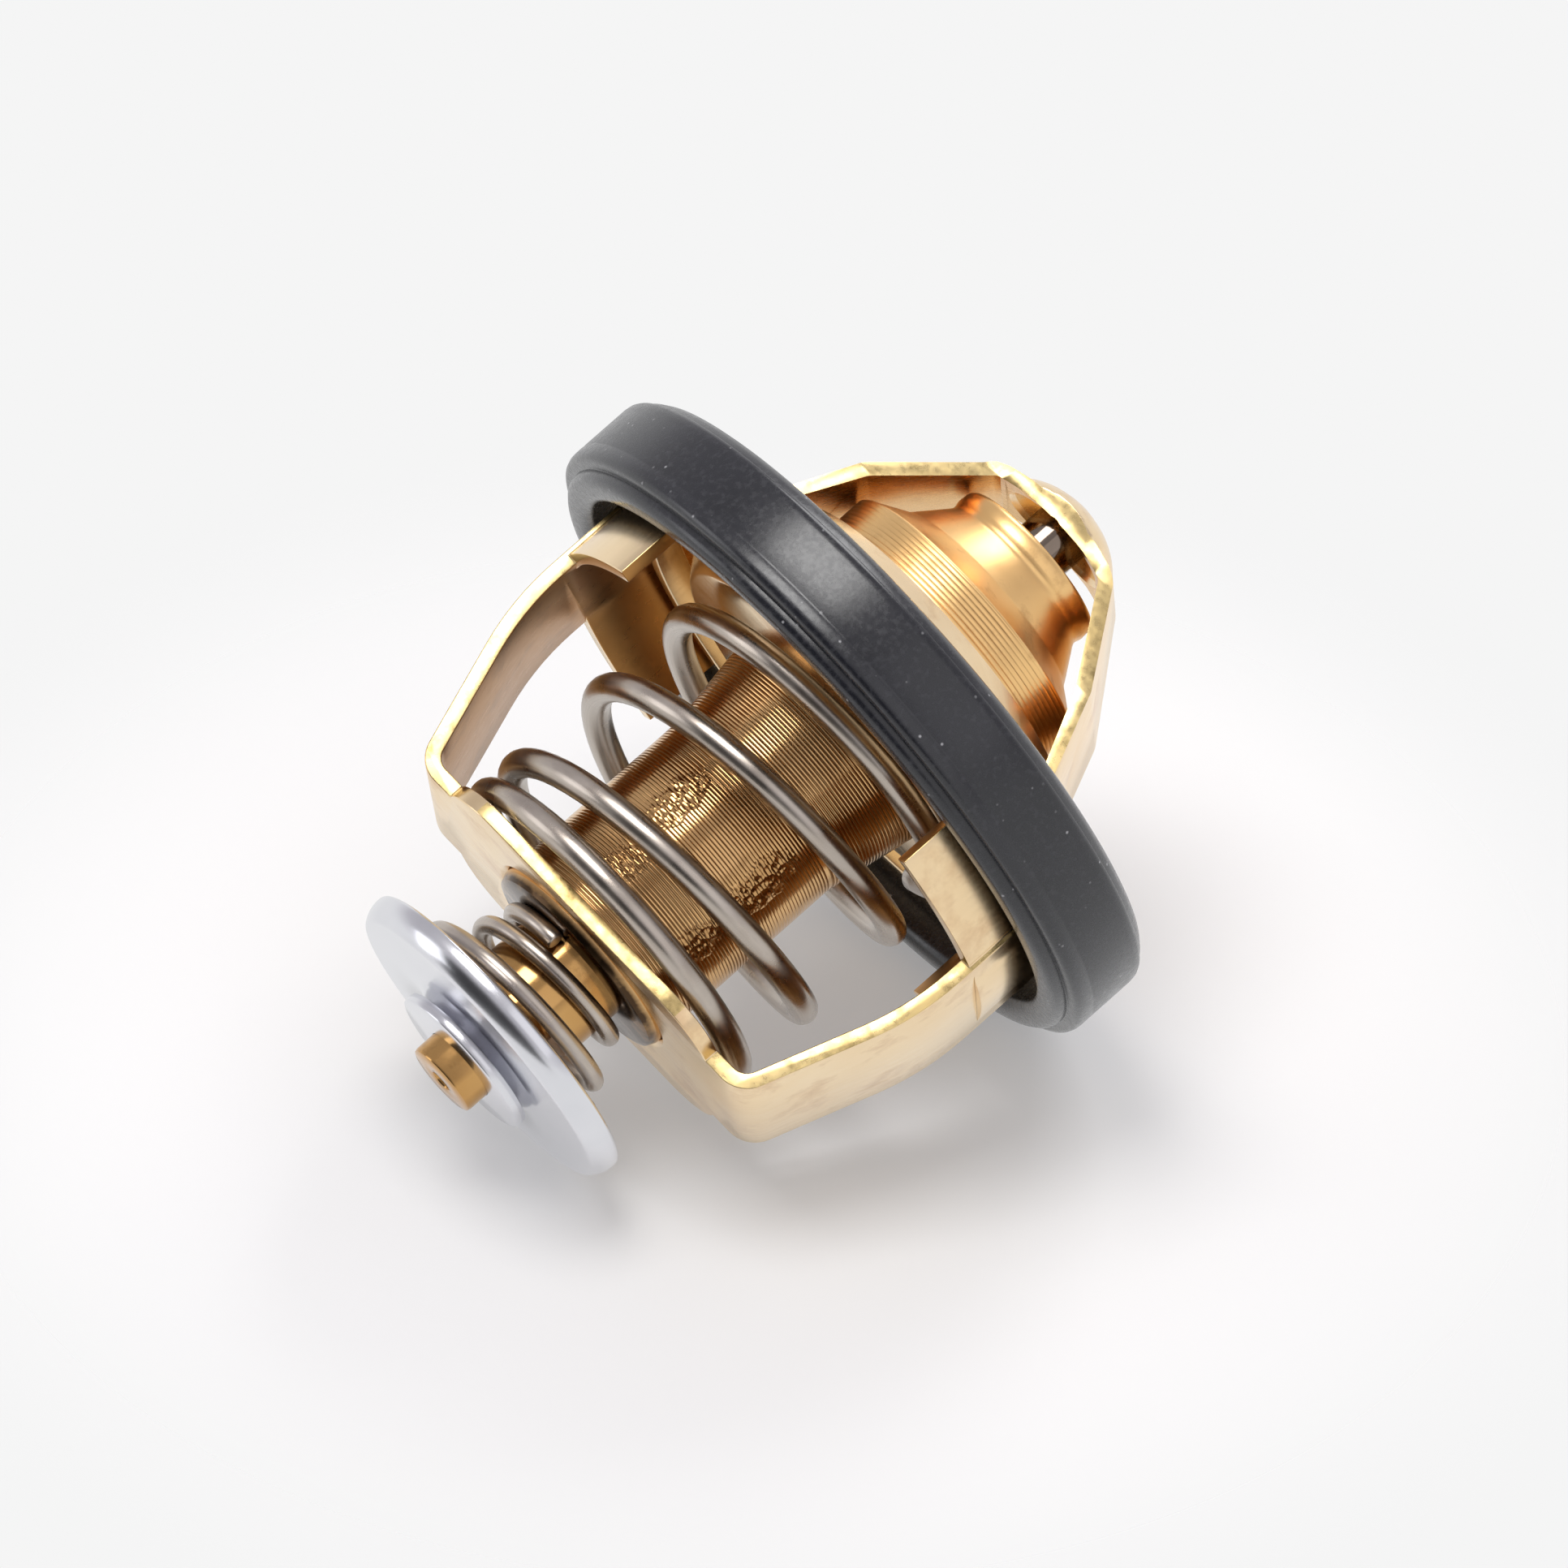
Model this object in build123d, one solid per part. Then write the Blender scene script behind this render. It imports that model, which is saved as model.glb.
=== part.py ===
from build123d import *
import math
import os

os.makedirs("parts", exist_ok=True)

# Clearances shared by the fits
slide_gap = 0.08
seat_gap = 0.06
press_gap = 0.04

# Rubber ring and flange plate, the ring radius sets every girth
ring_radius = 27.0
girth = ring_radius / 27
flange_radius = girth * 25.6
flange_half = 0.6
collar_radius = girth * 20.0
collar_wall = 1.0
collar_bottom = -1.7
ring_bore = girth * 23.3
ring_half = 4.1
ring_edge_top = 2.4
ring_edge_bottom = -2.3
ring_crown_radius = girth * 25.2
ring_ledge_z = -3.1
ring_lip_radius = girth * 25.9

# Upper bridge with its coned seat
sheet = 1.1
seat_foot_radius = girth * 22.8
seat_cone_radius = collar_radius
seat_mouth_radius = girth * 12.7
seat_mouth_z = 5.9
bridge_top_z = 20.1
bridge_knee_drop = 8.0
bridge_knee_z = bridge_top_z - bridge_knee_drop
bridge_foot_drop = 0.8
bridge_foot_z = seat_mouth_z - bridge_foot_drop
bridge_top_half = girth * 5.6
bridge_knee_half = girth * 11.9
bridge_foot_half = girth * 14.5
bridge_width = girth * 12.6
bridge_top_width = girth * 7.6
bridge_bend = 1.2
dome_radius = girth * 4.25
dome_height = 2.6
dome_wall = 0.8

# Lower frame
frame_sheet = 1.2
plate_bottom = -25.8
plate_half = girth * 17.0
plate_length = girth * 27.0
plate_depth = girth * 20.4
plate_corner = girth * 5.0
frame_width = girth * 13.0
leg_half = girth * 21.3
leg_rise = 13.2
leg_knee_z = plate_bottom + leg_rise
frame_bend = 1.9
frame_knee_bend = 22.0
ear_step = girth * 0.6
ear_radius = leg_half + ear_step
ear_wall = 1.1
ear_bottom = -7.6
ear_sweep = 96.0

# Wax element
cup_radius = girth * 8.0
cup_wall = 0.8
cup_drop = 0.8
cup_bottom = plate_bottom - cup_drop
cup_corner = 0.7
cup_neck_radius = girth * 9.2
cup_neck_z = -2.6
cup_flare_z = -9.4
cup_top = 2.0
guide_radius = girth * 11.2
guide_wall = 0.8
guide_gap = 2.3
guide_top = bridge_top_z - guide_gap
guide_rim_height = 2.2
guide_waist_z = guide_top - guide_rim_height
guide_cone_height = 3.1
guide_cone_z = guide_waist_z - guide_cone_height
guide_shoulder_height = 1.55
guide_step_z = guide_cone_z - guide_shoulder_height
guide_cone_radius = girth * 8.6
guide_waist_radius = girth * 6.1
guide_rim_radius = girth * 6.25
piston_radius = girth * 2.35
piston_bottom = -10.0
boot_radius = girth * 4.2
boot_floor = 1.2

# Main valve
valve_bottom = -1.8
valve_sheet = 1.2
valve_flat_radius = girth * 14.6
valve_rim_radius = girth * 17.0
valve_lip = girth * 0.6

# Main spring
spring_wire = 2.15
spring_outer = girth * 28.4
spring_turns = 4.0
spring_start = 45.0
spring_rest_low = 0.23
spring_rest_high = 0.07

# Bypass valve
stem_radius = girth * 4.6
stem_length = 4.8
stem_shoulder_z = cup_bottom - stem_length
coil_length = 6.9
disc_top = cup_bottom - coil_length
disc_sheet = 2.2
disc_bottom = disc_top - disc_sheet
disc_hub_height = 0.8
disc_hub_bottom = disc_bottom - disc_hub_height
disc_radius = girth * 12.5
disc_hub_radius = girth * 4.4
disc_round = 0.8
tip_radius = girth * 2.85
tip_length = 2.75
tip_end = disc_hub_bottom - tip_length
tip_hole_radius = girth * 0.8
tip_hole_depth = 1.5
washer_radius = girth * 5.95
washer_sheet = 0.9
coil_wire = 1.4
coil_small = girth * 5.5
coil_large = girth * 8.2
coil_turns = 2.7
coil_start = 11.5
coil_rest = 0.12


# Shapes shared by several pieces
def turned(*points):
    outline = Polyline(*[(r, 0, z) for r, z in points], close=True)
    return revolve(make_face(outline), Axis.Z, 360)


def bent_strap(points, thickness, width, bend):
    path = FilletPolyline(*points, radius=bend)
    return extrude(Plane.XZ * trace(path, thickness), width / 2, both=True)


def eased(u, rest_low, rest_high):
    ramp = min(max((u - rest_low) / (1 - rest_low - rest_high), 0), 1)
    return 0.12 * u + 0.88 * (ramp * ramp * (1.5 - ramp) + 0.5 * ramp)


def coil(radius_low, radius_high, low, high, wire, turns, start, rest_low, rest_high):
    steps = round(turns * 16)
    places = []
    for i in range(steps + 1):
        u = i / steps
        a = math.radians(start + 360 * turns * u)
        r = radius_low + (radius_high - radius_low) * min(max((u - 0.18) / 0.5, 0), 1)
        z = low + wire / 2 + (high - low - wire) * eased(u, rest_low, rest_high)
        places.append((r * math.cos(a), r * math.sin(a), z))
    path = Spline(*places)
    section = Plane(path @ 0, z_dir=path % 0) * Circle(wire / 2)
    return sweep(section, path)


# Rubber ring folded over the flange rim
slot_radius = flange_radius + press_gap
flange_seal = turned(
    (ring_bore, flange_half),
    (slot_radius, flange_half),
    (slot_radius, -flange_half),
    (ring_bore, -flange_half),
    (ring_bore, ring_ledge_z - 0.3),
    (ring_bore + 0.3, -ring_half + 0.3),
    (ring_bore + 0.8, -ring_half),
    (ring_lip_radius - 0.8, -ring_half),
    (ring_lip_radius - 0.2, -ring_half + 0.35),
    (ring_lip_radius, ring_ledge_z),
    (ring_radius - 0.5, ring_ledge_z),
    (ring_radius - 0.1, ring_ledge_z + 0.3),
    (ring_radius, ring_edge_bottom),
    (ring_radius, ring_edge_top),
    (ring_radius - 0.25, ring_edge_top + 0.7),
    (ring_radius - 0.8, ring_half - 0.5),
    (ring_crown_radius, ring_half),
    (ring_bore + 0.5, ring_half),
    (ring_bore, ring_half - 0.5),
)

# Flange plate with its turned-down collar
flange_plate = turned(
    (collar_radius - collar_wall, flange_half),
    (flange_radius, flange_half),
    (flange_radius, -flange_half),
    (collar_radius, -flange_half),
    (collar_radius, collar_bottom),
    (collar_radius - collar_wall, collar_bottom),
)

# Upper bridge, a strap and a coned seat pressed from one sheet
cone_run = seat_cone_radius - seat_mouth_radius
cone_rise = seat_mouth_z - flange_half
cone_slope = cone_rise / cone_run
cone_length = math.hypot(cone_run, cone_rise)
cone_out = sheet * cone_rise / cone_length
cone_up = sheet * cone_run / cone_length
seat_brow = seat_cone_radius + cone_out - (sheet - cone_up) / cone_slope
seat = turned(
    (seat_foot_radius, flange_half),
    (seat_cone_radius, flange_half),
    (seat_mouth_radius, seat_mouth_z),
    (seat_mouth_radius + cone_out, seat_mouth_z + cone_up),
    (seat_brow, flange_half + sheet),
    (seat_foot_radius, flange_half + sheet),
)
strap = bent_strap(
    [
        (-bridge_foot_half, bridge_foot_z),
        (-bridge_knee_half + sheet / 2, bridge_knee_z),
        (-bridge_top_half, bridge_top_z - sheet / 2),
        (bridge_top_half, bridge_top_z - sheet / 2),
        (bridge_knee_half - sheet / 2, bridge_knee_z),
        (bridge_foot_half, bridge_foot_z),
    ],
    sheet,
    bridge_width,
    bridge_bend,
)
taper_outline = make_face(
    Polyline(
        (-bridge_width / 2, 0),
        (bridge_width / 2, 0),
        (bridge_width / 2, bridge_knee_z),
        (bridge_top_width / 2, bridge_top_z - sheet),
        (bridge_top_width / 2, bridge_top_z + sheet),
        (-bridge_top_width / 2, bridge_top_z + sheet),
        (-bridge_top_width / 2, bridge_top_z - sheet),
        (-bridge_width / 2, bridge_knee_z),
        close=True,
    )
)
strap = strap & extrude(Plane.YZ * taper_outline, seat_foot_radius, both=True)
dome_ball = (dome_radius**2 + dome_height**2) / (2 * dome_height)
dome_mid = bridge_top_z + dome_height - dome_ball
dome_bottom = bridge_top_z - sheet
dome_block = Pos(0, 0, dome_bottom) * Box(
    2 * dome_radius, bridge_top_width, dome_height + sheet, align=(Align.CENTER, Align.CENTER, Align.MIN)
)
dome_outer = dome_block & Pos(0, 0, dome_mid) * Sphere(dome_ball)
dome_inner = dome_ball - dome_wall
dome_hollow = Pos(0, 0, dome_mid) * Sphere(dome_inner)
upper_bridge = seat + strap + dome_outer - dome_hollow

# Piston with its top rim set in the hollow of the dome
piston_top = dome_mid + math.sqrt(dome_inner**2 - piston_radius**2)
piston = Pos(0, 0, piston_bottom) * Cylinder(
    piston_radius, piston_top - piston_bottom, align=(Align.CENTER, Align.CENTER, Align.MIN)
)
piston = chamfer(piston.edges().sort_by(Axis.Z)[0], 0.4)

# Lower frame, a stirrup with curved ears and a wide spring plate
plate_mid = plate_bottom + frame_sheet / 2
plate_top = plate_bottom + frame_sheet
stirrup = bent_strap(
    [
        (-leg_half + frame_sheet / 2, -flange_half),
        (-leg_half + frame_sheet / 2, leg_knee_z),
        (-plate_half + frame_sheet / 2, plate_mid),
        (plate_half - frame_sheet / 2, plate_mid),
        (leg_half - frame_sheet / 2, leg_knee_z),
        (leg_half - frame_sheet / 2, -flange_half),
    ],
    frame_sheet,
    frame_width,
    (frame_knee_bend, frame_bend, frame_bend, frame_knee_bend),
)
plate_outline = RectangleRounded(plate_length, plate_depth, plate_corner)
spring_plate = Pos(0, 0, plate_bottom) * extrude(plate_outline, frame_sheet)
ear_face = make_face(
    Polyline(
        (ear_radius - ear_wall, 0, ear_bottom),
        (ear_radius, 0, ear_bottom),
        (ear_radius, 0, -flange_half),
        (ear_radius - ear_wall, 0, -flange_half),
        close=True,
    )
)
ear = Rot(0, 0, -ear_sweep / 2) * revolve(ear_face, Axis.Z, ear_sweep)
plate_hole = Pos(0, 0, plate_mid) * Cylinder(cup_radius + slide_gap, frame_sheet * 2)
hole_bevel = Pos(0, 0, plate_bottom) * Cone(cup_radius + slide_gap + 0.8, cup_radius + slide_gap, 0.8)
lower_frame = stirrup + spring_plate + ear + Rot(0, 0, 180) * ear - plate_hole - hole_bevel

# Main valve, a dished plate closing on the coned seat
valve_top = valve_bottom + valve_sheet
valve_touch = flange_half + (seat_cone_radius - valve_rim_radius) * cone_slope - seat_gap
main_valve = turned(
    (cup_neck_radius + press_gap, valve_bottom),
    (valve_flat_radius + 0.3, valve_bottom),
    (valve_flat_radius + 0.9, valve_bottom + 0.5),
    (valve_rim_radius + valve_lip, valve_touch - 1.4),
    (valve_rim_radius + valve_lip, valve_touch - valve_lip * cone_slope - 0.1),
    (valve_rim_radius, valve_touch),
    (valve_rim_radius - 0.5, valve_touch - 0.4),
    (valve_flat_radius, valve_top),
    (cup_neck_radius + press_gap, valve_top),
)

# Wax cup passing through the frame plate
cup_bore = cup_radius - cup_wall
element_cup = turned(
    (0, cup_bottom),
    (cup_radius - cup_corner, cup_bottom),
    (cup_radius, cup_bottom + cup_corner),
    (cup_radius, cup_flare_z),
    (cup_neck_radius, cup_neck_z),
    (cup_neck_radius, cup_top),
    (cup_bore, cup_top),
    (cup_bore, cup_bottom + cup_wall),
    (0, cup_bottom + cup_wall),
)

# Rubber boot round the piston, clamped on the cup mouth
boot_bore = piston_radius + slide_gap
boot_bottom = piston_bottom - boot_floor
boot_flange_top = cup_top + 1.0
rubber_boot = turned(
    (0, boot_bottom),
    (boot_radius, boot_bottom),
    (boot_radius, cup_top),
    (guide_radius - guide_wall - press_gap, cup_top),
    (guide_radius - guide_wall - press_gap, boot_flange_top),
    (boot_bore, boot_flange_top),
    (boot_bore, piston_bottom - 0.2),
    (0, piston_bottom - 0.2),
)

# Wax filling the cup round the boot
wax_charge = turned(
    (0, cup_bottom + cup_wall),
    (cup_bore - press_gap, cup_bottom + cup_wall),
    (cup_bore - press_gap, cup_top),
    (boot_radius + press_gap, cup_top),
    (boot_radius + press_gap, boot_bottom),
    (0, boot_bottom),
)

# Stepped guide cap over the cup mouth
element_guide = turned(
    (cup_neck_radius + press_gap, valve_top),
    (guide_radius, valve_top),
    (guide_radius, guide_step_z - 0.2),
    (guide_radius - 0.2, guide_step_z),
    (guide_cone_radius, guide_cone_z),
    (guide_waist_radius, guide_waist_z),
    (guide_waist_radius, guide_top - 1.7),
    (guide_rim_radius, guide_top - 1.2),
    (guide_rim_radius, guide_top - 0.4),
    (guide_rim_radius - 0.4, guide_top),
    (boot_bore, guide_top),
    (boot_bore, boot_flange_top),
    (guide_radius - guide_wall, boot_flange_top),
    (guide_radius - guide_wall, cup_top),
    (cup_neck_radius + press_gap, cup_top),
)

# Stem under the cup, stepped down for the bypass valve
bypass_stem = turned(
    (0, cup_bottom),
    (stem_radius, cup_bottom),
    (stem_radius, stem_shoulder_z),
    (tip_radius, stem_shoulder_z),
    (tip_radius, tip_end + 0.25),
    (tip_radius - 0.25, tip_end),
    (tip_hole_radius, tip_end),
    (tip_hole_radius, tip_end + tip_hole_depth),
    (0, tip_end + tip_hole_depth),
)

# Bypass valve disc sliding on the stem
disc_bore = tip_radius + slide_gap
bypass_disc = turned(
    (disc_bore, disc_hub_bottom),
    (disc_hub_radius, disc_hub_bottom),
    (washer_radius + slide_gap, disc_bottom),
    (disc_radius - disc_round, disc_bottom),
    (disc_radius - disc_round * 0.3, disc_bottom + disc_round * 0.3),
    (disc_radius, disc_bottom + disc_round),
    (disc_radius, disc_top - 0.5),
    (disc_radius - 0.15, disc_top - 0.15),
    (disc_radius - 0.5, disc_top),
    (disc_bore, disc_top),
)

# Stop washer pressed on the stem below the disc
stop_washer = turned(
    (tip_radius + press_gap, disc_hub_bottom),
    (washer_radius - 0.15, disc_hub_bottom),
    (washer_radius, disc_hub_bottom - 0.15),
    (washer_radius, disc_hub_bottom - washer_sheet + 0.15),
    (washer_radius - 0.15, disc_hub_bottom - washer_sheet),
    (tip_radius + press_gap, disc_hub_bottom - washer_sheet),
)

# Main spring between the frame plate and the valve
spring_mean = (spring_outer - spring_wire) / 2
main_spring = coil(
    spring_mean,
    spring_mean,
    plate_top,
    valve_bottom,
    spring_wire,
    spring_turns,
    spring_start,
    spring_rest_low,
    spring_rest_high,
)

# Coned bypass spring between the cup and the disc
bypass_spring = coil(
    coil_large,
    coil_small,
    disc_top,
    cup_bottom,
    coil_wire,
    coil_turns,
    coil_start,
    coil_rest,
    coil_rest,
)

# One file for each piece
pieces = {
    "flange_seal": flange_seal,
    "flange_plate": flange_plate,
    "upper_bridge": upper_bridge,
    "piston": piston,
    "lower_frame": lower_frame,
    "main_valve": main_valve,
    "element_cup": element_cup,
    "rubber_boot": rubber_boot,
    "wax_charge": wax_charge,
    "element_guide": element_guide,
    "bypass_stem": bypass_stem,
    "bypass_disc": bypass_disc,
    "stop_washer": stop_washer,
    "main_spring": main_spring,
    "bypass_spring": bypass_spring,
}
for name, piece in pieces.items():
    export_step(piece, f"parts/{name}.step")
    box = piece.bounding_box()
    print(name, len(piece.solids()), piece.is_valid, box.min, box.max)
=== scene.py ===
import math

import bpy
from mathutils import Matrix, Vector


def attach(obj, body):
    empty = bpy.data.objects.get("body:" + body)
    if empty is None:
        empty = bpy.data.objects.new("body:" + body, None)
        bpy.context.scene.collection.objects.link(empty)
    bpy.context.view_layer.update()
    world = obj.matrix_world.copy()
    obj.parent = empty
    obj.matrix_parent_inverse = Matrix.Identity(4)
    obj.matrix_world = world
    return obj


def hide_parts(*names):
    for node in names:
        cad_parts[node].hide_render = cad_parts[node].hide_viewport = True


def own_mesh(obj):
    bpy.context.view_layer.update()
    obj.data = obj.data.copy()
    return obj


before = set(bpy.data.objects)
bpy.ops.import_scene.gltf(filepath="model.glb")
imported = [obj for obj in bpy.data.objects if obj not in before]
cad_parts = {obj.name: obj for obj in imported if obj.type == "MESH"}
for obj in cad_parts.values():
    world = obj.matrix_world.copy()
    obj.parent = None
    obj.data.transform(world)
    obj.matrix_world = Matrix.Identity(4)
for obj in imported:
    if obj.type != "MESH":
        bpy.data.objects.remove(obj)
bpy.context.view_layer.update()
mm = 0.001
mergeSpec = {"point": 1e-7, "seam": 2e-7, "cad": 1e-6, "flat": 1.0}  # distances in m, flat in degrees


# small helpers
def hexColour(text):
    parts = [int(text[i:i + 2], 16) / 255 for i in (1, 3, 5)]
    return tuple(c / 12.92 if c <= 0.04045 else ((c + 0.055) / 1.055) ** 2.4 for c in parts) + (1.0,)


def clamp(value):
    return min(max(value, 0), 1)


# the scale of a pattern from the size in mm of one of its spots
def spots(size):
    return 1.0 / (size * mm)


def addNode(tree, kind, settings=None, links=None):
    node = tree.nodes.new(kind)
    for key, value in (settings or {}).items():
        if isinstance(key, str) and hasattr(node, key):
            setattr(node, key, value)
        else:
            node.inputs[key].default_value = value
    for key, (source, output) in (links or {}).items():
        tree.links.new(source.outputs[output], node.inputs[key])
    return node


def newMaterial(name):
    mat = bpy.data.materials.new(name)
    mat.use_nodes = True
    tree = mat.node_tree
    tree.nodes.clear()
    return mat, tree


def setMaterial(obj, *mats):
    obj.data.materials.clear()
    for mat in mats:
        obj.data.materials.append(mat)


def namePiece(obj, name):
    obj.name = name
    obj.data.name = name


def deselectAll():
    if bpy.context.object and bpy.context.object.mode != "OBJECT":
        bpy.ops.object.mode_set(mode="OBJECT")
    bpy.ops.object.select_all(action="DESELECT")


def makeActive(obj):
    deselectAll()
    obj.select_set(True)
    bpy.context.view_layer.objects.active = obj


# smooth shading that stays crisp at edges sharper than an angle in degrees
def shadePiece(obj, sharp):
    makeActive(obj)
    bpy.ops.object.shade_smooth_by_angle(angle=math.radians(sharp))


def roundEdges(obj, width, segments, sharp):
    makeActive(obj)
    mod = obj.modifiers.new("edge", "BEVEL")
    mod.width = width * mm
    mod.segments = segments
    mod.limit_method = "ANGLE"
    mod.angle_limit = math.radians(sharp)
    mod.use_clamp_overlap = True
    bpy.ops.object.modifier_apply(modifier="edge")
    shadePiece(obj, sharp)


# a profile in (radius, height) mm, extruded point by point, closed and spun round the axis
def spinPiece(name, profile, steps=176, sharp=38):
    deselectAll()
    bpy.ops.mesh.primitive_plane_add(size=mm, location=(0, 0, 0))
    obj = bpy.context.object
    namePiece(obj, name)
    bpy.ops.object.mode_set(mode="EDIT")
    bpy.ops.mesh.select_all(action="SELECT")
    bpy.ops.mesh.merge(type="CENTER")
    points = [Vector((r * mm, 0, z * mm)) for r, z in profile]
    bpy.ops.transform.translate(value=points[0])
    for a, b in zip(points, points[1:]):
        bpy.ops.mesh.extrude_region_move(TRANSFORM_OT_translate={"value": b - a})
    if profile[0][0] > 0 or profile[-1][0] > 0:  # a profile that ends on the axis is closed by the spin
        bpy.ops.mesh.extrude_region_move(TRANSFORM_OT_translate={"value": points[0] - points[-1]})
    bpy.ops.mesh.select_all(action="SELECT")
    bpy.ops.mesh.remove_doubles(threshold=mergeSpec["point"])
    bpy.ops.mesh.spin(steps=steps, angle=2 * math.pi, center=(0, 0, 0), axis=(0, 0, 1))
    bpy.ops.mesh.select_all(action="SELECT")
    bpy.ops.mesh.remove_doubles(threshold=mergeSpec["seam"])
    bpy.ops.mesh.normals_make_consistent(inside=False)
    bpy.ops.object.mode_set(mode="OBJECT")
    shadePiece(obj, sharp)
    return obj


# a merged copy of a CAD node with its pressed edges rounded over
def roundedCopy(node, name, width, segments=3, sharp=40):
    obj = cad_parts[node].copy()
    obj.data = obj.data.copy()
    namePiece(obj, name)
    bpy.context.collection.objects.link(obj)
    makeActive(obj)
    if obj.data.has_custom_normals:
        bpy.ops.mesh.customdata_custom_splitnormals_clear()
    bpy.ops.object.mode_set(mode="EDIT")
    bpy.ops.mesh.select_all(action="SELECT")
    bpy.ops.mesh.remove_doubles(threshold=mergeSpec["cad"])
    bpy.ops.mesh.dissolve_limited(angle_limit=math.radians(mergeSpec["flat"]))
    bpy.ops.mesh.normals_make_consistent(inside=False)
    bpy.ops.object.mode_set(mode="OBJECT")
    roundEdges(obj, width, segments, sharp)
    return obj


windSpec = {"sides": 20, "stepsPerTurn": 56, "evenShare": 0.12, "growFrom": 0.18, "growOver": 0.5,
            "endRound": 0.12, "segments": 2, "sharp": 50}


# a wire coil: one round section swept by a Screw modifier, then set to its own pitch
def coilPiece(name, spec):
    deselectAll()
    count = windSpec["sides"]
    steps = round(spec["turns"] * windSpec["stepsPerTurn"])
    bpy.ops.mesh.primitive_circle_add(vertices=count, radius=spec["wire"] / 2 * mm, location=(0, 0, 0))
    obj = bpy.context.object
    namePiece(obj, name)
    bpy.ops.object.mode_set(mode="EDIT")
    bpy.ops.mesh.select_all(action="SELECT")
    bpy.ops.transform.rotate(value=math.pi / 2, orient_axis="X", center_override=(0, 0, 0))
    bpy.ops.transform.translate(value=(spec["low"] * mm, 0, 0))
    bpy.ops.object.mode_set(mode="OBJECT")
    mod = obj.modifiers.new("wind", "SCREW")
    mod.angle = 2 * math.pi * spec["turns"]
    mod.steps = steps
    mod.render_steps = steps
    mod.screw_offset = (spec["top"] - spec["bottom"]) * mm
    mod.use_merge_vertices = False
    bpy.ops.object.modifier_apply(modifier="wind")
    section = [(math.hypot(v.co.x, v.co.y) - spec["low"] * mm, v.co.z) for v in obj.data.vertices[:count]]
    height = spec["top"] - spec["bottom"] - spec["wire"]
    even = windSpec["evenShare"]
    for v in obj.data.vertices:
        u = (v.index // count) / steps
        angle = math.radians(spec["start"] + 360 * spec["turns"] * u)
        ramp = clamp((u - spec["restLow"]) / (1 - spec["restLow"] - spec["restHigh"]))
        eased = ramp * ramp * (3 - 2 * ramp)
        rise = even * u + (1 - even) * (eased + ramp) / 2  # closed end turns, then an open pitch between
        grown = clamp((u - windSpec["growFrom"]) / windSpec["growOver"])
        out, up = section[v.index % count]
        r = (spec["low"] + (spec["high"] - spec["low"]) * grown) * mm + out
        z = (spec["bottom"] + spec["wire"] / 2 + height * rise) * mm + up
        v.co = (r * math.cos(angle), r * math.sin(angle), z)
    makeActive(obj)
    bpy.ops.object.mode_set(mode="EDIT")
    bpy.ops.mesh.select_all(action="SELECT")
    bpy.ops.mesh.fill_holes(sides=count)
    bpy.ops.mesh.select_all(action="SELECT")
    bpy.ops.mesh.normals_make_consistent(inside=False)
    bpy.ops.object.mode_set(mode="OBJECT")
    roundEdges(obj, windSpec["endRound"], windSpec["segments"], windSpec["sharp"])
    return obj


grooveSpec = {"land": 0.6, "wobble": 0.1, "wobbleTurn": 2.4}


# turned grooves: narrow cuts of uneven depth with flat lands between, along a straight run of a profile
def grooved(start, end, spec):
    count = round(math.dist(start, end) / spec["pitch"])
    land, wobble = grooveSpec["land"], grooveSpec["wobble"]
    points = []
    for i in range(count):
        depth = spec["depth"] * (1 - wobble + wobble * math.sin(i * grooveSpec["wobbleTurn"]))
        for share, cut in ((0.0, 0.0), (land, 0.0), ((1 + land) / 2, depth)):
            t = (i + share) / count
            points.append((start[0] + (end[0] - start[0]) * t - cut, start[1] + (end[1] - start[1]) * t))
    points.append(end)
    return points


rubberSpec = {"dark": "#101117", "light": "#202128", "haze": "#77787e", "dust": "#a3a3a6"}


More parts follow.
